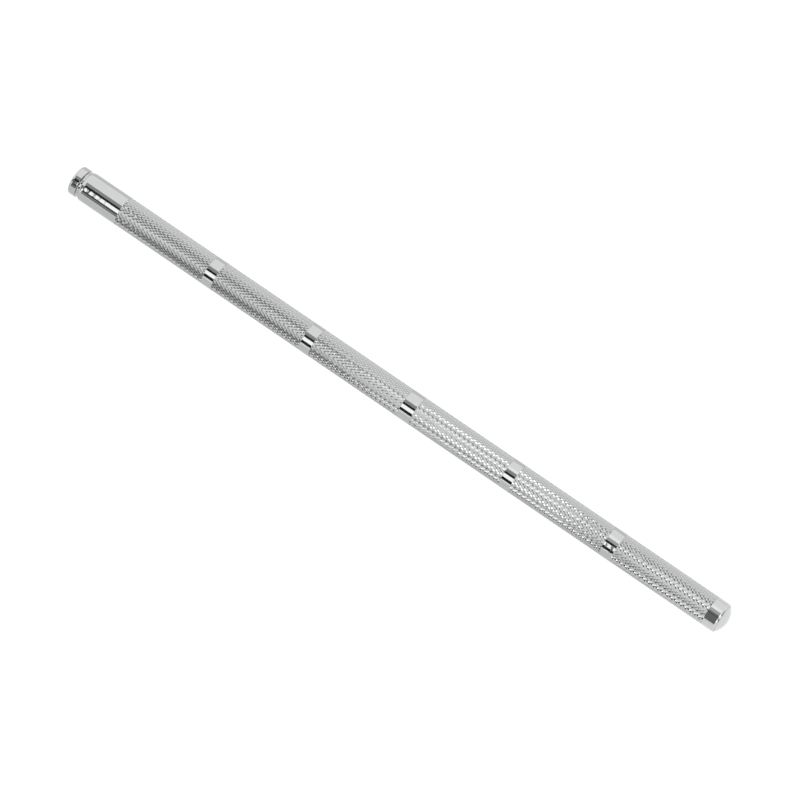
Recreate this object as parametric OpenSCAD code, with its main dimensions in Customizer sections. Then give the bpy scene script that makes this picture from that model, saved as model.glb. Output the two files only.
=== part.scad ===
// Pocket scriber, closed for carrying: a knurled chrome tube with a steel needle
// stored inside it. Unscrewing the nose cap draws the collet off its cone, and the
// needle then slides out through the nose. The axis lies along X with the nose at
// +X, and the origin is on the axis, half way along. Millimetres.

/* [Overall] */
// Length from the face of the nose cap to the top of the domed end
overall_len = 149.2; // [120:0.1:200]
// Diameter of the plain bands, which the knurl's crests also reach
barrel_d = 6.0; // [5:0.1:8]

/* [Barrel] */
// Wall of the tube
tube_wall = 1.0; // [0.8:0.05:1.2]
// Wall left round the nose cap's pilot at the mouth
mouth_wall = 0.5; // [0.4:0.05:0.6]
// Length of the plain stretch behind the mouth
front_plain_len = 9.1; // [6:0.1:14]
// Length of the plain ring at the domed end
rear_plain_len = 2.7; // [2:0.1:6]
// Length of the plain band in the middle
middle_band_len = 2.8; // [1:0.1:5]
// Length of the plain band nearest the domed end
last_band_len = 2.5; // [1:0.1:5]
// Length of the other three plain bands
band_len = 2.3; // [1:0.1:5]
// Depth of the knurl, from crest to root
knurl_depth = 0.25; // [0.1:0.05:0.4]
// Length of the chamfer round the mouth
mouth_chamfer_len = 0.8; // [0.3:0.1:1.5]
// Radial height of the chamfer round the mouth
mouth_chamfer_h = 0.37; // [0.1:0.01:0.37]

/* [Nose cap] */
// Length of the head
cap_head_len = 1.7; // [1.5:0.1:4]
// How much smaller the head's radius is than the barrel's
cap_step = 0.07; // [0:0.01:0.2]
// Radius of the head's rounded front edge
cap_edge_r = 0.45; // [0.1:0.05:0.5]
// Thickness of the head in front of the collet
cap_front_wall = 0.9; // [0.6:0.1:1]
// Width of the groove between the head and the mouth when screwed home
cap_gap = 0.5; // [0.3:0.1:1]
// How deep the plain pilot enters the mouth
pilot_depth = 0.8; // [0.5:0.1:2]
// Radial step from the pilot down to the mean radius of the thread
pilot_step = 0.1; // [0.05:0.01:0.15]
// Length of the screw thread
thread_len = 5.0; // [4:0.1:8]

/* [Collet] */
// Wall of the collet's jaws
jaw_wall = 0.65; // [0.5:0.05:0.8]
// Wall at the small end of the jaws' cone
cone_end_wall = 0.3; // [0.2:0.05:0.35]
// Length of the cone
cone_len = 2.6; // [2:0.1:4]
// Length of solid collet in front of the slots
collet_root_len = 1.6; // [1.2:0.1:2]
// Number of slots that divide the jaws
slot_count = 4; // [2:1:6]
// Width of a slot
slot_w = 0.35; // [0.2:0.05:0.45]
// Distance from the collet's front face to the snap ring
ring_setback = 0.6; // [0.5:0.05:0.8]
// Diameter of the snap ring's wire
ring_wire_d = 0.3; // [0.2:0.02:0.36]
// Thickness of the seat behind its cone
seat_back_wall = 0.6; // [0.4:0.1:1]

/* [Needle] */
// Diameter of the needle
needle_d = 2.0; // [1.6:0.05:2.4]
// How far the point stands behind the nose face when it is put away
point_setback = 0.8; // [0.3:0.1:3]
// How far the needle slides out
needle_travel = 40; // [20:1:48]
// Length of the needle's own taper
taper_len = 5; // [3:0.5:8]
// Diameter of the hard tip
tip_d = 1.1; // [0.6:0.05:1.35]
// Length of the hard tip in front of the needle
tip_len = 4; // [2:0.5:6]
// Length of the straight part of the hard tip
tip_straight_len = 0.8; // [0.4:0.1:1.2]
// Length of the tip's peg that is brazed into the needle
tip_peg_len = 2; // [1:0.5:3]
// Diameter of the tip's peg
tip_peg_d = 0.8; // [0.4:0.05:1]
// Diameter across the end of the point
point_d = 0.08; // [0.04:0.02:0.2]
// Length of the brass collar on the needle's tail
collar_len = 4; // [2:0.5:6]
// How far the needle's tail stands out of the collar
tail_stub_len = 0.3; // [0.1:0.1:1]

/* [Rear end] */
// Height of the dome
dome_h = 1.15; // [0.8:0.05:2]
// Length of the end plug's shank inside the tube
plug_shank_len = 7; // [4:0.5:12]
// Thickness of the rubber buffer
buffer_len = 3; // [1:0.5:5]
// Wall of the distance tube
distance_wall = 0.7; // [0.4:0.05:0.9]
// Length of the lead on the front of the plug's shank
lead_len = 0.4; // [0.2:0.1:0.8]

/* [Fits] */
// Radial clearance where one piece slides or turns in another
running = 0.04; // [0.02:0.01:0.06]
// Radial clearance of the open collet on the needle
grip = 0.03; // [0.01:0.01:0.05]
// End clearance between pieces that stop each other
end_play = 0.1; // [0.05:0.05:0.2]

/* [Hidden] */
$fn = 96;
arc_steps = 8;

function total(v, i = 0) = i < len(v) ? v[i] + total(v, i + 1) : 0;

// Pointed knurl diamonds hold a third of their height, so the plain cylinder that
// stands for a knurled stretch lies a third of the way up from their roots.
knurl_fill = 1 / 3;

// Radii, from the outside in down to the thread.
barrel_r = barrel_d / 2;
knurl_r = barrel_r - knurl_depth * (1 - knurl_fill);
bore_r = barrel_r - tube_wall;
mouth_bore_r = barrel_r - mouth_wall;
pilot_r = mouth_bore_r - running;
thread_r = pilot_r - pilot_step;
thread_bore_r = thread_r + running;
chamfer_h = min(mouth_chamfer_h, 0.75 * mouth_wall);

// Radii, from the needle out to the pocket in the nose cap.
needle_r = needle_d / 2;
needle_bore_r = needle_r + running;
jaw_bore_r = needle_r + grip;
collet_r = jaw_bore_r + jaw_wall;
cone_end_r = jaw_bore_r + cone_end_wall;
pocket_r = collet_r + running;
collar_r = bore_r - running;

// Places of the nose cap, from the front.
nose_x = overall_len / 2;
head_r = barrel_r - cap_step;
head_back_x = nose_x - cap_head_len;
mouth_x = head_back_x - cap_gap;
pilot_back_x = mouth_x - pilot_depth;
thread_back_x = pilot_back_x - thread_len;

// The collet fills the cap's pocket, and its cone lies in the seat behind the thread.
collet_front_x = nose_x - cap_front_wall - end_play;
ring_x = collet_front_x - ring_setback;
ring_r = collet_r + running / 2;
slot_front_x = collet_front_x - collet_root_len;
seat_front_x = thread_back_x - end_play;
cone_back_x = seat_front_x - cone_len;
seat_step_x = cone_back_x - end_play;
seat_back_x = seat_step_x - seat_back_wall;

// The needle at rest, put away with its point inside the nose.
point_x = nose_x - point_setback;
tip_back_x = point_x - tip_len;
taper_back_x = tip_back_x - taper_len;
collar_front_x = seat_back_x - end_play - needle_travel;
collar_back_x = collar_front_x - collar_len;
tail_x = collar_back_x - tail_stub_len;

// The rear end.
dome_top_x = -overall_len / 2;
butt_x = dome_top_x + dome_h;
dome_r = (barrel_r * barrel_r + dome_h * dome_h) / (2 * dome_h);
plug_front_x = butt_x + plug_shank_len;
buffer_front_x = tail_x - end_play;
buffer_back_x = buffer_front_x - buffer_len;

// The plain bands from the nose to the dome, with equal knurled stretches between them.
bands = [band_len, band_len, middle_band_len, band_len, last_band_len];
knurl_count = len(bands) + 1;
plain_len = front_plain_len + total(bands) + rear_plain_len;
knurl_len = (mouth_x - butt_x - plain_len) / knurl_count;

// The front end of knurl number i, counted from the nose.
function knurl_front(i) = i == 0 ? mouth_x - front_plain_len : knurl_front(i - 1) - knurl_len - bands[i - 1];

// A solid of revolution about the X axis; each point is [place along X, radius].
module turned(points) {
    rotate([0, 90, 0])
        rotate_extrude()
            polygon([for (p = points) [p[1], p[0]]]);
}

// A plain round bar or hole along the X axis.
module bar(x0, x1, r) {
    translate([x0, 0, 0])
        rotate([0, 90, 0])
            cylinder(h = x1 - x0, r = r);
}

// A tube along the X axis, open at both ends.
module tube(x0, x1, r_out, r_in) {
    difference() {
        bar(x0, x1, r_out);
        bar(x0 - 1, x1 + 1, r_in);
    }
}

// A ring of round wire about the X axis.
module wire_ring(x, r, wire_r) {
    translate([x, 0, 0])
        rotate([0, 90, 0])
            rotate_extrude()
                translate([r, 0])
                    circle(r = wire_r, $fn = 32);
}

// The outline of one knurled stretch, which lies a step below the plain bands.
function knurl_outline(i) = [
    [knurl_front(i) - knurl_len, barrel_r],
    [knurl_front(i) - knurl_len, knurl_r],
    [knurl_front(i), knurl_r],
    [knurl_front(i), barrel_r]
];

module barrel() {
    outline = concat(
        [[butt_x, 0], [butt_x, barrel_r]],
        [for (i = [knurl_count - 1:-1:0]) each knurl_outline(i)],
        [
            [mouth_x - mouth_chamfer_len, barrel_r],
            [mouth_x, barrel_r - chamfer_h],
            [mouth_x, 0]
        ]
    );
    color("silver")
        difference() {
            turned(outline);
            bar(butt_x - 1, mouth_x + 1, bore_r);
            bar(seat_back_x, mouth_x + 1, thread_bore_r);
            bar(pilot_back_x - end_play, mouth_x + 1, mouth_bore_r);
        }
}

module nose_cap() {
    edge = [for (i = [0:arc_steps]) let (a = 90 * i / arc_steps)
        [nose_x - cap_edge_r + cap_edge_r * sin(a), head_r - cap_edge_r + cap_edge_r * cos(a)]];
    outline = concat(
        [
            [thread_back_x, 0],
            [thread_back_x, thread_r],
            [pilot_back_x, thread_r],
            [pilot_back_x, pilot_r],
            [head_back_x, pilot_r],
            [head_back_x, head_r]
        ],
        edge,
        [[nose_x, 0]]
    );
    color("gainsboro")
        difference() {
            turned(outline);
            bar(thread_back_x - 1, nose_x + 1, needle_bore_r);
            bar(thread_back_x - 1, nose_x - cap_front_wall, pocket_r);
            wire_ring(ring_x, ring_r, ring_wire_d / 2 + running);
        }
}

module snap_ring() {
    color("dimgray")
        wire_ring(ring_x, ring_r, ring_wire_d / 2);
}

module collet() {
    color("darkgray")
        difference() {
            turned([
                [cone_back_x, jaw_bore_r],
                [cone_back_x, cone_end_r],
                [seat_front_x, collet_r],
                [collet_front_x, collet_r],
                [collet_front_x, jaw_bore_r]
            ]);
            wire_ring(ring_x, ring_r, ring_wire_d / 2);
            for (i = [0:slot_count - 1])
                rotate([360 * i / slot_count, 0, 0])
                    translate([cone_back_x - 1, -slot_w / 2, 0])
                        cube([slot_front_x - cone_back_x + 1, slot_w, collet_r + 1]);
        }
}

module collet_seat() {
    color("gray")
        turned([
            [seat_back_x, needle_bore_r],
            [seat_back_x, thread_bore_r],
            [seat_front_x, thread_bore_r],
            [seat_front_x, collet_r + running],
            [seat_step_x, cone_end_r + running],
            [seat_step_x, needle_bore_r]
        ]);
}

module needle() {
    color("lightsteelblue")
        difference() {
            turned([
                [tail_x, 0],
                [tail_x, needle_r],
                [taper_back_x, needle_r],
                [tip_back_x, tip_d / 2],
                [tip_back_x, 0]
            ]);
            bar(tip_back_x - tip_peg_len, tip_back_x + 1, tip_peg_d / 2);
        }
}

module carbide_tip() {
    color("dimgray")
        turned([
            [tip_back_x - tip_peg_len, 0],
            [tip_back_x - tip_peg_len, tip_peg_d / 2],
            [tip_back_x, tip_peg_d / 2],
            [tip_back_x, tip_d / 2],
            [tip_back_x + tip_straight_len, tip_d / 2],
            [point_x, point_d / 2],
            [point_x, 0]
        ]);
}

module needle_collar() {
    color("goldenrod")
        tube(collar_back_x, collar_front_x, collar_r, needle_r);
}

module buffer() {
    color("darkslategray")
        bar(buffer_back_x, buffer_front_x, bore_r);
}

module distance_tube() {
    color("lightgray")
        tube(plug_front_x, buffer_back_x, bore_r, bore_r - distance_wall);
}

module end_plug() {
    color("whitesmoke")
        union() {
            intersection() {
                translate([dome_top_x + dome_r, 0, 0])
                    sphere(r = dome_r);
                bar(dome_top_x - 1, butt_x, barrel_r);
            }
            turned([
                [butt_x, 0],
                [butt_x, bore_r],
                [plug_front_x - lead_len, bore_r],
                [plug_front_x, bore_r - lead_len / 2],
                [plug_front_x, 0]
            ]);
        }
}

barrel();
nose_cap();
snap_ring();
collet();
collet_seat();
needle();
carbide_tip();
needle_collar();
buffer();
distance_tube();
end_plug();
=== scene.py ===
import math

import bpy
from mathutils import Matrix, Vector


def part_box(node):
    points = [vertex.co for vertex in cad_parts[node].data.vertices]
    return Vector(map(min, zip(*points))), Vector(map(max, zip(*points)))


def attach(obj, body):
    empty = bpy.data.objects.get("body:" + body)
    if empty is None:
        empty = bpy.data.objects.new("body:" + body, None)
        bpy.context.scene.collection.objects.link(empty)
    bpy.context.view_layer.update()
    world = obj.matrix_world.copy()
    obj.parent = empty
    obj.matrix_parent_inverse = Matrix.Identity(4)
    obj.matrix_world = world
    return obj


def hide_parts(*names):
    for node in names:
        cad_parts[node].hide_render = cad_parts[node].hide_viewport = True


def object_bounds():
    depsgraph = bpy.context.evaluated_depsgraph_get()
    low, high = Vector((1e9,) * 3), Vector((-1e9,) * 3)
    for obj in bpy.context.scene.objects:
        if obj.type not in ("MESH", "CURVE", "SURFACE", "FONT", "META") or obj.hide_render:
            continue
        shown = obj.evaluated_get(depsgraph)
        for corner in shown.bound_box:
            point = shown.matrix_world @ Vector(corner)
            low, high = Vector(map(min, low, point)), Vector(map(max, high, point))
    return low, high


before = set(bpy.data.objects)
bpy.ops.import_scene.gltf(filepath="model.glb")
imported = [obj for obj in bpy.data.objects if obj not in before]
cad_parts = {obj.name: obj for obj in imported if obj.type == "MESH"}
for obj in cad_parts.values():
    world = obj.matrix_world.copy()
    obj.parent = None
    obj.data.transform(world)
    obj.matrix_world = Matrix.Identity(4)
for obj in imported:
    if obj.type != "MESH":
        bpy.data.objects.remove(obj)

cad_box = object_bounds()

# ---------------------------------------------------------------------------
# Barrel. One steel tube, turned to plain bands with a diamond knurl rolled
# between them, bored right through, with a rounded mouth, then chromed all over.
# The outline is drawn and spun, and the knurl's points are pulled out of its grooves.

MM = 0.001
barrel_low, barrel_high = (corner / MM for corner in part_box("barrel"))
barrel_r = barrel_high.z
mouth_x = barrel_high.x
butt_x = barrel_low.x
bore_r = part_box("distance_tube")[1].z / MM
seat_back_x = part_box("collet_seat")[0].x / MM
thread_bore_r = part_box("collet_seat")[1].z / MM

front_plain = 9.1
rear_plain = 2.7
band_lengths = [2.3, 2.3, 2.8, 2.3, 2.5]
band_edge = 0.03
mouth_round = 0.8
mouth_rim_r = barrel_r - 0.37
mouth_flat = 0.1
mouth_bore_r = barrel_r - 0.5
mouth_bore_edge = 0.03
counterbore = 0.9
butt_round = 0.5
butt_rim_r = barrel_r - 0.15
round_flat = 0.08
knurl_starts = 32
knurl_rows = 40
knurl_depth = 0.13
knurl_root_r = barrel_r - knurl_depth
knurl_peak_r = barrel_r - 0.01
knurl_flat = 0.05
smooth_angle = 22
same_place = 0.001
merge_distance = 0.0002


def turned(name, outline, steps):
    """A closed piece turned about the X axis. Its outline, in millimetres along the
    axis and out from it, is extruded from point to point, then spun."""
    points = [Vector((x, 0, r)) * MM for x, r in outline]
    bpy.ops.object.select_all(action="DESELECT")
    bpy.ops.mesh.primitive_plane_add(size=MM)
    piece = bpy.context.object
    piece.name = name
    piece.data.name = name
    bpy.ops.object.mode_set(mode="EDIT")
    bpy.ops.mesh.select_all(action="SELECT")
    bpy.ops.mesh.merge(type="CENTER")
    bpy.ops.transform.translate(value=points[0])
    for here, there in zip(points, points[1:]):
        bpy.ops.mesh.extrude_region_move(TRANSFORM_OT_translate={"value": there - here})
    bpy.ops.mesh.select_all(action="SELECT")
    bpy.ops.mesh.spin(steps=steps, angle=2 * math.pi, center=(0, 0, 0), axis=(1, 0, 0))
    bpy.ops.mesh.select_all(action="SELECT")
    bpy.ops.mesh.remove_doubles(threshold=merge_distance * MM)
    bpy.ops.mesh.normals_make_consistent(inside=False)
    bpy.ops.object.mode_set(mode="OBJECT")
    return piece


def stations(start, end, count):
    """Evenly spaced places from start to end, both included."""
    return [start + (end - start) * i / count for i in range(count + 1)]


def arc(middle, radius, first, last, count, tall=None):
    """Points of a round, from one angle to another in degrees, where 0 points along the
    axis and 90 points straight out from it. A tall makes it half an ellipse."""
    angles = [math.radians(a) for a in stations(first, last, count)]
    height = tall or radius
    return [(middle[0] + radius * math.cos(a), middle[1] + height * math.sin(a)) for a in angles]


def choose(piece, test):
    """Leaves the piece in edit mode with only the vertices selected whose place along
    the axis, distance from it and turns round it pass the test."""
    bpy.ops.object.select_all(action="DESELECT")
    piece.select_set(True)
    bpy.context.view_layer.objects.active = piece
    bpy.ops.object.mode_set(mode="EDIT")
    bpy.ops.mesh.select_mode(type="VERT")
    bpy.ops.mesh.select_all(action="DESELECT")
    bpy.ops.object.mode_set(mode="OBJECT")
    for vertex in piece.data.vertices:
        x, y, z = vertex.co / MM
        vertex.select = test(x, math.hypot(y, z), math.atan2(z, y) / (2 * math.pi))
    bpy.ops.object.mode_set(mode="EDIT")


def smooth(piece):
    """Smooth shading across every edge flatter than the smooth angle."""
    bpy.ops.object.select_all(action="DESELECT")
    piece.select_set(True)
    bpy.context.view_layer.objects.active = piece
    bpy.ops.object.shade_smooth_by_angle(angle=math.radians(smooth_angle))


plain_total = front_plain + sum(band_lengths) + rear_plain
knurl_length = (mouth_x - butt_x - plain_total) / (len(band_lengths) + 1)
knurls = []
place = mouth_x - front_plain
for band in [*band_lengths, 0]:
    knurls.append((place - knurl_length, place))
    place -= knurl_length + band

outline = [(butt_x, bore_r), (butt_x, butt_rim_r)]
outline += arc((butt_x + butt_round, butt_rim_r), butt_round, 171, 90, 8, tall=barrel_r - butt_rim_r)
outline += [(butt_x + butt_round + round_flat, barrel_r)]
for start, end in reversed(knurls):
    outline += [(start - 3 * band_edge, barrel_r), (start - band_edge, barrel_r)]
    outline += [(start, barrel_r - band_edge)]
    outline += [(x, knurl_root_r) for x in stations(start, end, knurl_rows)]
    outline += [(end, barrel_r - band_edge)]
    outline += [(end + band_edge, barrel_r), (end + 3 * band_edge, barrel_r)]
round_middle = (mouth_x - mouth_round, mouth_rim_r)
outline += [(mouth_x - mouth_round - mouth_flat, barrel_r)]
outline += arc(round_middle, mouth_round, 90, 0, 8, tall=barrel_r - mouth_rim_r)
outline += [
    (mouth_x, mouth_bore_r + mouth_bore_edge),
    (mouth_x - mouth_bore_edge, mouth_bore_r),
    (mouth_x - counterbore, mouth_bore_r),
    (mouth_x - counterbore, thread_bore_r),
    (seat_back_x, thread_bore_r),
    (seat_back_x, bore_r),
    (butt_x, bore_r),
]
barrel = turned("barrel_body", outline, 2 * knurl_starts)


def knurl_row(x):
    """Which ring of the knurl a place along the axis is on, or None off the knurl."""
    for start, end in knurls:
        if start - same_place < x < end + same_place:
            return round((x - start) / knurl_length * knurl_rows)
    return None


def on_knurl(x, radius, turns, points):
    """True for the points of the diamonds, or for the places where the grooves cross."""
    row = knurl_row(x)
    if row is None or not bore_r + 0.3 < radius < barrel_r - 1.5 * band_edge:
        return False
    return (row + round(turns * 2 * knurl_starts)) % 2 == points


def on_flat_point(x, radius, turns):
    """True for the diamonds' pulled-out points, but not for those on a stretch's ends."""
    row = knurl_row(x) or 0
    return 0 < row < knurl_rows and abs(radius - knurl_peak_r) < same_place


choose(barrel, lambda x, radius, turns: on_knurl(x, radius, turns, 0))
bpy.ops.mesh.vert_connect()
bpy.ops.object.mode_set(mode="OBJECT")
choose(barrel, lambda x, radius, turns: on_knurl(x, radius, turns, 1))
pull = knurl_peak_r / knurl_root_r
bpy.ops.transform.resize(value=(1, pull, pull), center_override=(0, 0, 0))
bpy.ops.object.mode_set(mode="OBJECT")
choose(barrel, on_flat_point)
bpy.ops.mesh.bevel(affect="VERTICES", offset=knurl_flat * MM)
bpy.ops.object.mode_set(mode="OBJECT")
smooth(barrel)


class Value:
    """An output of a shader node. Arithmetic on it adds Math nodes."""

    def __init__(self, tree, socket):
        self.tree = tree
        self.socket = socket

    def math(self, operation, *terms):
        """A Math node on these terms, which are numbers or Values."""
        node = self.tree.nodes.new("ShaderNodeMath")
        node.operation = operation
        for port, term in zip(node.inputs, terms):
            connect(self.tree, port, term)
        return Value(self.tree, node.outputs[0])

    def __add__(self, other):
        return self.math("ADD", self, other)

    def __sub__(self, other):
        return self.math("SUBTRACT", self, other)

    def __rsub__(self, other):
        return self.math("SUBTRACT", other, self)

    def __mul__(self, other):
        return self.math("MULTIPLY", self, other)

    __radd__ = __add__
    __rmul__ = __mul__


def connect(tree, port, term):
    """Gives an input socket a plain value, or links it to a Value."""
    if isinstance(term, Value):
        tree.links.new(term.socket, port)
    else:
        port.default_value = term


class Shader:
    """A new material whose nodes are added one call at a time."""

    def __init__(self, name):
        self.material = bpy.data.materials.new(name)
        self.material.use_nodes = True
        self.tree = self.material.node_tree
        self.tree.nodes.clear()

    def node(self, kind, settings=None, numbered=None, output=0, **named):
        """Adds a node, makes its settings, then fills or links its sockets, numbered
        ones where the node has several of one name. Returns one of its outputs."""
        node = self.tree.nodes.new("ShaderNode" + kind)
        for key, value in (settings or {}).items():
            setattr(node, key, value)
        for number, term in (numbered or {}).items():
            connect(self.tree, node.inputs[number], term)
        for key, term in named.items():
            connect(self.tree, node.inputs[key.replace("_", " ")], term)
        return Value(self.tree, node.outputs[output]) if node.outputs else None

    def mix(self, amount, first, second):
        """A colour between two colours."""
        sockets = {0: amount, 6: first, 7: second}
        return self.node("Mix", {"data_type": "RGBA"}, sockets, output=2)

    def place(self):
        """The place on the object, in metres."""
        return self.node("TexCoord", output="Object")

    def along(self, place, axis):
        """How far a place is along one axis."""
        return self.node("SeparateXYZ", output=axis, Vector=place)

    def noise(self, place, size, detail=3.0, stretch=(1, 1, 1)):
        """Soft noise whose blobs are about the size, in millimetres."""
        scale = tuple(1 / (size * MM * s) for s in stretch)
        mapped = self.node("Mapping", Vector=place, Scale=scale)
        return self.node("TexNoise", Vector=mapped, Scale=1.0, Detail=detail)

    def finish(self, surface):
        """Ends the material in this surface."""
        self.node("OutputMaterial", Surface=surface)
        return self.material


grime_and_shade_depth = 0.085
ripple_length = 1.3


def chrome(name, lines, knurled):
    """Bright chrome plate over faint turning lines. Polishing left slow waves and hair
    scratches. In the knurl's grooves the plate is darker and browner the deeper it lies:
    partly a film of grime, partly painted shade in the hollows."""
    shader = Shader(name)
    place = shader.place()
    x, y, z = (shader.along(place, axis) for axis in "XYZ")
    depth = barrel_r * MM - y.math("SQRT", y * y + z * z)
    groove = shader.node("MapRange", Value=depth, From_Min=grime_and_shade_depth * MM, From_Max=knurl_depth * MM)
    knurled_middle = (knurls[0][1] + knurls[-1][0]) / 2 * MM
    knurled_half = (knurls[0][1] - knurls[-1][0]) / 2 * MM
    # Mask of painted shade with some grime: deep in the knurl's grooves, on the knurled stretch only.
    groove_grime_and_shade = groove * x.math("COMPARE", x, knurled_middle, knurled_half) * knurled
    cloud = shader.noise(place, 4.0)
    waves = shader.noise(place, 0.6, 2.0)
    hair = shader.noise(place, 0.05, 2.0, stretch=(40, 1, 1))
    plate = shader.mix(cloud, (0.535, 0.545, 0.55, 1), (0.565, 0.57, 0.57, 1))
    # Painted shade with some grime: the plate darkens and browns towards the knurl's roots.
    colour = shader.mix(groove_grime_and_shade * 0.5, plate, (0.2, 0.197, 0.19, 1))
    ripple = x.math("SINE", x * (2 * math.pi / (ripple_length * MM)) + waves * 4.0)
    cut = shader.node("Bump", Strength=lines, Distance=0.000003, Height=ripple)
    slow = shader.node("Bump", Strength=0.05, Distance=0.00002, Height=waves, Normal=cut)
    fine = shader.node("Bump", Strength=0.04, Distance=0.000004, Height=hair, Normal=slow)
    return shader.finish(
        shader.node(
            "BsdfPrincipled",
            Base_Color=colour,
            Metallic=1.0,
            Roughness=0.035 + cloud * 0.03 + groove_grime_and_shade * 0.05,
            Normal=fine,
        )
    )


barrel.data.materials.append(chrome("barrel_chrome", 0.45, 1.0))
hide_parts("barrel")
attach(barrel, "barrel")

# ---------------------------------------------------------------------------
# End plug. Turned from steel bar with a domed head, chromed, and pressed into the
# back of the barrel, where only its dome shows.

plug_low, plug_high = (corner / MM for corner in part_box("end_plug"))
dome_height = butt_x - plug_low.x
dome_rim_r = butt_rim_r
dome_edge = 0.1
seam_depth = 0.16
seam_low_x = butt_x - 0.05
seam_edge_x = butt_x - 0.06
seam_edge_r = dome_rim_r - 0.04
shank_r = bore_r - 0.005
shank_lead = 0.4
dome_r = (dome_rim_r**2 + dome_height**2) / (2 * dome_height)

dome_middle = plug_low.x + dome_r
half_angle = math.degrees(math.asin((dome_rim_r - dome_edge) / dome_r))
outline = arc((dome_middle, 0), dome_r, 180, 180 - half_angle, 20)
outline[0] = (plug_low.x, 0)
outline += [
    (seam_edge_x, seam_edge_r),
    (seam_low_x, dome_rim_r - seam_depth),
    (butt_x, dome_rim_r - seam_depth),
    (butt_x, shank_r),
    (plug_high.x - shank_lead, shank_r),
    (plug_high.x, shank_r - shank_lead / 2),
    (plug_high.x, 0),
]
plug = turned("end_plug_dome", outline, 96)
smooth(plug)
polished_chrome = chrome("polished_chrome", 0.0, 0.0)
plug.data.materials.append(polished_chrome)
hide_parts("end_plug")
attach(plug, "barrel")

# ---------------------------------------------------------------------------
# Nose cap. A turned and chromed cap that screws into the mouth and closes the
# collet. Behind its plain head are a groove, a pilot and a fine right-hand thread.

cap_low, cap_high = (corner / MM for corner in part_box("nose_cap"))
head_r = cap_high.z
head_back_x = mouth_x + 0.5
front_round = 0.45
back_round = 0.12
groove_round = 0.3
pilot_r = 2.46
pilot_back_x = mouth_x - 0.8
pilot_edge = 0.04
thread_core_r = 2.2
thread_crest_r = 2.37
thread_pitch = 0.5
thread_lead = 0.15
thread_relief = 0.3
ridge_turn = 1.1
needle_hole_r = 1.04
needle_hole_edge = 0.12
needle_hole_flat = 0.2
pocket_r = 1.72
pocket_front_x = cap_high.x - 0.9
ring_x = sum(corner.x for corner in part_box("snap_ring")) / 2 / MM
ring_groove_r = 1.87
ring_groove_half = 0.17

outline = [
    (cap_low.x, pocket_r),
    (cap_low.x, thread_core_r - thread_lead),
    (cap_low.x + thread_lead, thread_core_r),
    (pilot_back_x - thread_relief, thread_core_r),
    (pilot_back_x - pilot_edge, pilot_r - pilot_edge),
    (pilot_back_x, pilot_r),
]
outline += arc((head_back_x - groove_round, pilot_r + groove_round), groove_round, 270, 360, 8)
outline += arc((head_back_x + back_round, head_r - back_round), back_round, 180, 90, 4)
outline += [
    (head_back_x + back_round + round_flat, head_r),
    (cap_high.x - front_round - round_flat, head_r),
]
outline += arc((cap_high.x - front_round, head_r - front_round), front_round, 90, 0, 8)
outline += [
    (cap_high.x, head_r - front_round - round_flat),
    (cap_high.x, needle_hole_r + needle_hole_flat),
    (cap_high.x, needle_hole_r + needle_hole_edge),
    (cap_high.x - needle_hole_edge, needle_hole_r),
    (pocket_front_x, needle_hole_r),
    (pocket_front_x, pocket_r),
    (ring_x + ring_groove_half, pocket_r),
    (ring_x + ring_groove_half, ring_groove_r),
    (ring_x - ring_groove_half, ring_groove_r),
    (ring_x - ring_groove_half, pocket_r),
    (cap_low.x, pocket_r),
]
cap = turned("nose_cap_body", outline, 96)


def screw_ridge(name, low_x, high_x):
    """The ridge of a right-hand thread, swept round the X axis from its V section, and
    turned a little so that its corners miss the cap's."""
    half = 0.42 * thread_pitch
    crest = 0.06 * thread_pitch
    sunk_r = thread_core_r - 0.04
    section = [(-half, sunk_r), (-crest, thread_crest_r), (crest, thread_crest_r), (half, sunk_r)]
    points = [Vector((low_x + half + x, 0, r)) * MM for x, r in section]
    bpy.ops.object.select_all(action="DESELECT")
    bpy.ops.mesh.primitive_plane_add(size=MM)
    ridge = bpy.context.object
    ridge.name = name
    bpy.ops.object.mode_set(mode="EDIT")
    bpy.ops.mesh.merge(type="CENTER")
    bpy.ops.transform.translate(value=points[0])
    for here, there in zip(points, points[1:]):
        bpy.ops.mesh.extrude_region_move(TRANSFORM_OT_translate={"value": there - here})
    bpy.ops.mesh.select_all(action="SELECT")
    bpy.ops.mesh.edge_face_add()
    bpy.ops.mesh.delete(type="ONLY_FACE")
    bpy.ops.object.mode_set(mode="OBJECT")
    sweep = ridge.modifiers.new("sweep", "SCREW")
    sweep.axis = "X"
    sweep.screw_offset = thread_pitch * MM
    sweep.iterations = int((high_x - low_x - 2 * half) / thread_pitch)
    sweep.steps = 48
    sweep.render_steps = 48
    bpy.ops.object.modifier_apply(modifier="sweep")
    bpy.ops.object.mode_set(mode="EDIT")
    bpy.ops.mesh.select_all(action="SELECT")
    bpy.ops.mesh.remove_doubles(threshold=merge_distance * MM)
    bpy.ops.mesh.select_all(action="DESELECT")
    bpy.ops.mesh.select_mode(type="EDGE")
    bpy.ops.mesh.select_non_manifold()
    bpy.ops.mesh.edge_face_add()
    bpy.ops.mesh.select_all(action="SELECT")
    bpy.ops.mesh.normals_make_consistent(inside=False)
    turn = math.radians(ridge_turn)
    bpy.ops.transform.rotate(value=turn, orient_axis="X", center_override=(0, 0, 0))
    bpy.ops.object.mode_set(mode="OBJECT")
    return ridge


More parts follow.
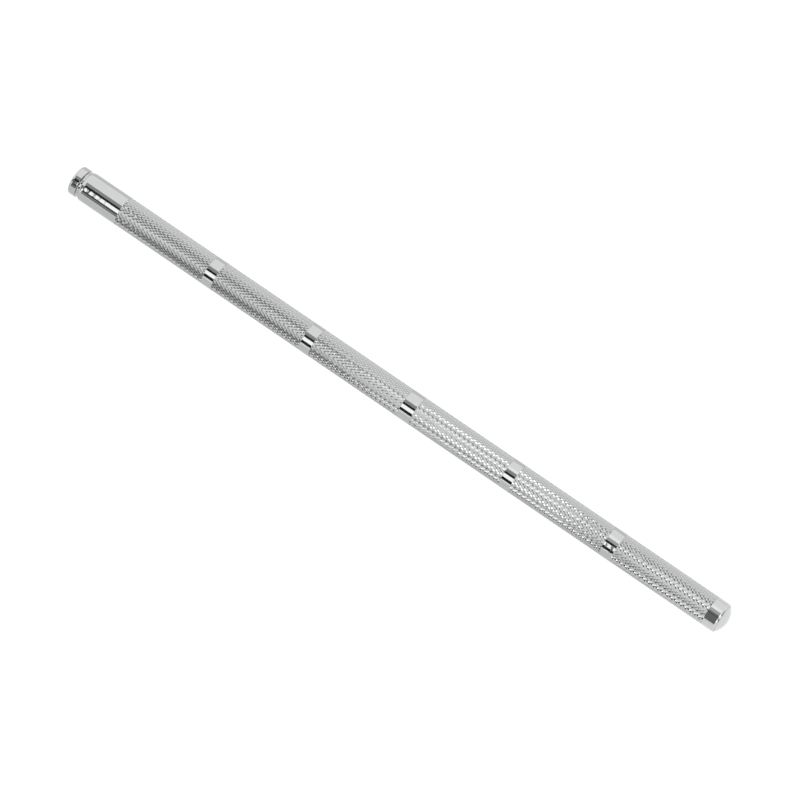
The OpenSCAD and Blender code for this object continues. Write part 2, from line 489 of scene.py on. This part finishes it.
ridge = screw_ridge("ridge", cap_low.x + thread_lead, pilot_back_x - thread_relief)
bpy.ops.object.select_all(action="DESELECT")
cap.select_set(True)
bpy.context.view_layer.objects.active = cap
weld = cap.modifiers.new("weld", "BOOLEAN")
weld.operation = "UNION"
weld.solver = "EXACT"
weld.object = ridge
bpy.ops.object.modifier_apply(modifier="weld")
bpy.data.objects.remove(ridge)
bpy.ops.object.mode_set(mode="EDIT")
bpy.ops.mesh.select_all(action="SELECT")
bpy.ops.mesh.remove_doubles(threshold=same_place * MM)
bpy.ops.mesh.dissolve_degenerate(threshold=same_place * MM)
bpy.ops.mesh.normals_make_consistent(inside=False)
bpy.ops.object.mode_set(mode="OBJECT")
smooth(cap)
cap.data.materials.append(polished_chrome)
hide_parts("nose_cap")
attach(cap, "nose_cap")

# ---------------------------------------------------------------------------
# Collet, its seat and its snap ring. Spring steel, turned, slit and hardened, so it
# is straw brown to blue, with fine turning rings. The collet's cone closes in the seat.


def hardened(name, cool, warm, ring_size):
    """Turned and hardened spring steel: tempering colours that drift in patches, with
    turning rings that stand as a fine bump."""
    shader = Shader(name)
    place = shader.place()
    temper = shader.noise(place, 2.5)
    rings = shader.noise(place, ring_size, 2.0, stretch=(1, 200, 200))
    speck = shader.noise(place, 0.15)
    colour = shader.mix(temper, cool, warm)
    cut = shader.node("Bump", Strength=0.35, Distance=0.00001, Height=rings)
    return shader.finish(
        shader.node(
            "BsdfPrincipled",
            Base_Color=colour,
            Metallic=1.0,
            Roughness=0.22 + rings * 0.12 + speck * 0.08,
            Normal=cut,
        )
    )


def refinish(name, material):
    """Gives a CAD node whose shape is right a better material."""
    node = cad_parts[name]
    node.data.materials.clear()
    node.data.materials.append(material)


refinish("collet", hardened("collet_steel", (0.40, 0.37, 0.34, 1), (0.30, 0.31, 0.34, 1), 0.08))
refinish("collet_seat", hardened("seat_steel", (0.36, 0.36, 0.37, 1), (0.44, 0.43, 0.42, 1), 0.12))
refinish("snap_ring", hardened("wire_steel", (0.20, 0.20, 0.23, 1), (0.28, 0.26, 0.25, 1), 0.5))

# ---------------------------------------------------------------------------
# Needle. A ground tool-steel rod with a tapered nose, brazed round a sintered
# carbide tip, and a brass collar pressed on its tail that keeps it from falling out.

heat_start = 66.0
heat_end = 70.2


def ground_steel():
    """Centreless-ground tool steel: close fine rings, bright, with a few stray scratches
    and a faint warm stain where the tip was brazed."""
    shader = Shader("ground_steel")
    place = shader.place()
    rings = shader.noise(place, 0.03, 2.0, stretch=(1, 300, 300))
    cloud = shader.noise(place, 3.0)
    scratch = shader.noise(place, 0.08, 1.0, stretch=(60, 1, 1))
    x = shader.along(place, "X")
    heat = shader.node("MapRange", Value=x, From_Min=heat_start * MM, From_Max=heat_end * MM)
    steel = shader.mix(cloud, (0.47, 0.47, 0.48, 1), (0.54, 0.54, 0.535, 1))
    colour = shader.mix(heat * 0.5, steel, (0.46, 0.36, 0.24, 1))
    cut = shader.node("Bump", Strength=0.25, Distance=0.000006, Height=rings)
    scored = shader.node("Bump", Strength=0.1, Distance=0.000006, Height=scratch, Normal=cut)
    return shader.finish(
        shader.node(
            "BsdfPrincipled",
            Base_Color=colour,
            Metallic=1.0,
            Roughness=0.16 + rings * 0.12 + cloud * 0.06,
            Normal=scored,
        )
    )


def sintered_carbide():
    """Tungsten carbide: dark grey, heavy and grainy, with the coarse lines of the wheel
    that ground the point."""
    shader = Shader("sintered_carbide")
    place = shader.place()
    grain = shader.noise(place, 0.02, 4.0)
    wheel = shader.noise(place, 0.05, 1.0, stretch=(1, 40, 40))
    colour = shader.mix(grain, (0.17, 0.17, 0.175, 1), (0.27, 0.265, 0.26, 1))
    rough = shader.node("Bump", Strength=0.3, Distance=0.000006, Height=grain)
    cut = shader.node("Bump", Strength=0.3, Distance=0.000008, Height=wheel, Normal=rough)
    return shader.finish(
        shader.node(
            "BsdfPrincipled",
            Base_Color=colour,
            Metallic=1.0,
            Roughness=0.34 + grain * 0.16,
            Normal=cut,
        )
    )


def turned_brass():
    """Turned brass, rubbed dull where it slides and brown where it doesn't."""
    shader = Shader("turned_brass")
    place = shader.place()
    rings = shader.noise(place, 0.06, 2.0, stretch=(1, 300, 300))
    tarnish = shader.noise(place, 1.2, 4.0)
    colour = shader.mix(tarnish, (0.74, 0.54, 0.24, 1), (0.52, 0.35, 0.15, 1))
    cut = shader.node("Bump", Strength=0.3, Distance=0.00001, Height=rings)
    return shader.finish(
        shader.node(
            "BsdfPrincipled",
            Base_Color=colour,
            Metallic=1.0,
            Roughness=0.22 + tarnish * 0.2 + rings * 0.08,
            Normal=cut,
        )
    )


refinish("needle", ground_steel())
refinish("carbide_tip", sintered_carbide())
refinish("needle_collar", turned_brass())

# ---------------------------------------------------------------------------
# Buffer and distance tube. A black rubber disc that the needle's collar lands on,
# and the drawn aluminium tube that holds it at the right depth in the bore.


def black_rubber():
    """Moulded nitrile rubber: nearly black, matt, with bloom in soft grey patches."""
    shader = Shader("black_rubber")
    place = shader.place()
    bloom = shader.noise(place, 0.8, 4.0)
    skin = shader.noise(place, 0.04, 3.0)
    colour = shader.mix(bloom, (0.018, 0.018, 0.019, 1), (0.045, 0.044, 0.042, 1))
    grain = shader.node("Bump", Strength=0.4, Distance=0.00001, Height=skin)
    return shader.finish(
        shader.node(
            "BsdfPrincipled",
            Base_Color=colour,
            Roughness=0.62 + bloom * 0.2,
            Normal=grain,
        )
    )


def drawn_aluminium():
    """Drawn aluminium tube: pale, with long fine lines from the die."""
    shader = Shader("drawn_aluminium")
    place = shader.place()
    lines = shader.noise(place, 0.05, 2.0, stretch=(120, 1, 1))
    cloud = shader.noise(place, 5.0)
    colour = shader.mix(cloud, (0.80, 0.80, 0.81, 1), (0.88, 0.88, 0.87, 1))
    cut = shader.node("Bump", Strength=0.3, Distance=0.000008, Height=lines)
    return shader.finish(
        shader.node(
            "BsdfPrincipled",
            Base_Color=colour,
            Metallic=1.0,
            Roughness=0.28 + lines * 0.14,
            Normal=cut,
        )
    )


refinish("buffer", black_rubber())
refinish("distance_tube", drawn_aluminium())

# ---------------------------------------------------------------------------
# Table. The scriber lies on a plain white table under an even white sky. The table
# shines with painted light of its own: evenly to the camera, dimmer in reflections,
# and brighter in reflections towards and beyond the domed end.

table_size = 6.0
table_seen = 1.02
table_reflected_glow = 0.78
table_end_glow = 1.12
table_end_glow_from = -55.0
table_end_glow_to = -78.0
sky_level = 1.18

bpy.ops.object.select_all(action="DESELECT")
bpy.ops.mesh.primitive_plane_add(size=table_size, location=(0, 0, cad_box[0].z))
table = bpy.context.object
table.name = "table"


def grey(level):
    """A grey of this level."""
    return (level, level, level, 1)


white = Shader("table_white")
table_x = white.along(white.place(), "X")
# Painted light: in reflections the table's glow brightens towards and beyond the domed end.
end = white.node("MapRange", Value=table_x, From_Min=table_end_glow_from * MM, From_Max=table_end_glow_to * MM)
reflected_glow = white.mix(end, grey(table_reflected_glow), grey(table_end_glow))
# Painted light: the table glows brighter where the camera sees it straight on than in reflections.
seen = white.node("LightPath", output="Is Camera Ray")
table.data.materials.append(
    white.finish(
        white.node(
            "BsdfPrincipled",
            Base_Color=grey(0.06),
            Roughness=1.0,
            Specular_IOR_Level=0.0,
            Emission_Color=white.mix(seen, reflected_glow, grey(table_seen)),
            Emission_Strength=1.0,
        )
    )
)

sky = bpy.data.worlds.new("sky")
bpy.context.scene.world = sky
sky.use_nodes = True
sky.node_tree.nodes["Background"].inputs["Color"].default_value = grey(1)
sky.node_tree.nodes["Background"].inputs["Strength"].default_value = sky_level
bpy.context.scene.view_settings.view_transform = "Standard"
bpy.context.scene.view_settings.look = "None"

# ---------------------------------------------------------------------------
# Studio cards. Long flat cards hang round the scriber's axis, a dark one behind a
# white strip and greys. They are seen only in reflections, and draw the lines there.

card_distance = 400.0


def glow(name, level):
    """A plain white shining surface."""
    shader = Shader(name)
    return shader.finish(shader.node("Emission", Color=grey(1), Strength=level))


def card(name, low, high, near, far, level, behind=0.0):
    """A card between two angles round the axis, in degrees from straight up, and two
    places along it, in millimetres."""
    middle = math.radians((low + high) / 2)
    half = math.radians((high - low) / 2)
    away = (card_distance + behind) * MM
    bpy.ops.object.select_all(action="DESELECT")
    bpy.ops.mesh.primitive_plane_add(size=1)
    sheet = bpy.context.object
    sheet.name = name
    sheet.rotation_euler.x = -middle
    sheet.scale = ((far - near) * MM, 2 * away * math.tan(half), 1)
    sheet.location = ((near + far) / 2 * MM, away * math.sin(middle), away * math.cos(middle))
    sheet.data.materials.append(glow(name, level))
    sheet.visible_camera = False
    sheet.visible_diffuse = False
    sheet.visible_shadow = False


card("dark_card", 12, 78, -75, 225, 0.03, behind=20)
card("rear_dark_card", 12, 78, -75, 5, 0.2, behind=10)
card("rear_line_card", 27, 30, -75, 5, 0.06)
card("rear_low_card", 77, 86, -75, 5, 0.2, behind=10)
card("white_card", 29.5, 55.5, 5, 187.5, 1.65)
card("front_low_card", 65, 86, 165, 225, 0.3)
card("front_grey_card", -9, 13, 25, 225, 0.4)
card("rear_grey_card", -9, 13, -75, 25, 0.6)
card("bright_card", -32, -11, -75, 70, 1.38)
card("far_light_card", 14, 45, -700, -75, 0.9)
card("far_white_card", 45, 68, -700, -95, 1.15)
card("far_spark_card", 47, 61, -215, -98, 2.4, behind=-5)
card("front_spark_card", 47, 61, 196, 287, 1.9, behind=-5)
card("far_high_card", -1, 18, -150, -98, 3.2, behind=-5)
card("end_high_card", -50, 4, -700, -260, 0.03, behind=-10)
card("end_white_card", 8, 30, -700, -260, 1.9, behind=-10)
card("end_low_card", 34, 62, -700, -260, 0.03, behind=-10)
card("front_dim_card", 26, 56, 225, 900, 0.27)
card("front_white_card", 56, 70, 225, 315, 1.7)
card("front_end_card", 56, 80, 316, 900, 0.6)

# ---------------------------------------------------------------------------
# Camera. A long lens looks steeply down, with the domed end nearer and to the lower
# right. Its aim is a little off the middle of the scriber.

camera_azimuth = math.radians(215.84)
camera_elevation = math.radians(70.42)
camera_distance = 831.6
camera_lens = 201.5
aim_right = 0.707
aim_up = -0.587

toward_camera = Vector(
    (
        math.sin(camera_azimuth) * math.cos(camera_elevation),
        -math.cos(camera_azimuth) * math.cos(camera_elevation),
        math.sin(camera_elevation),
    )
)
camera_right = (-toward_camera).cross(Vector((0, 0, 1))).normalized()
camera_up = camera_right.cross(-toward_camera)
aim = camera_right * aim_right + camera_up * aim_up
bpy.ops.object.camera_add(location=(aim + toward_camera * camera_distance) * MM)
camera = bpy.context.object
camera.rotation_euler = (-toward_camera).to_track_quat("-Z", "Y").to_euler()
camera.data.lens = camera_lens
camera.data.clip_end = 10
bpy.context.scene.camera = camera
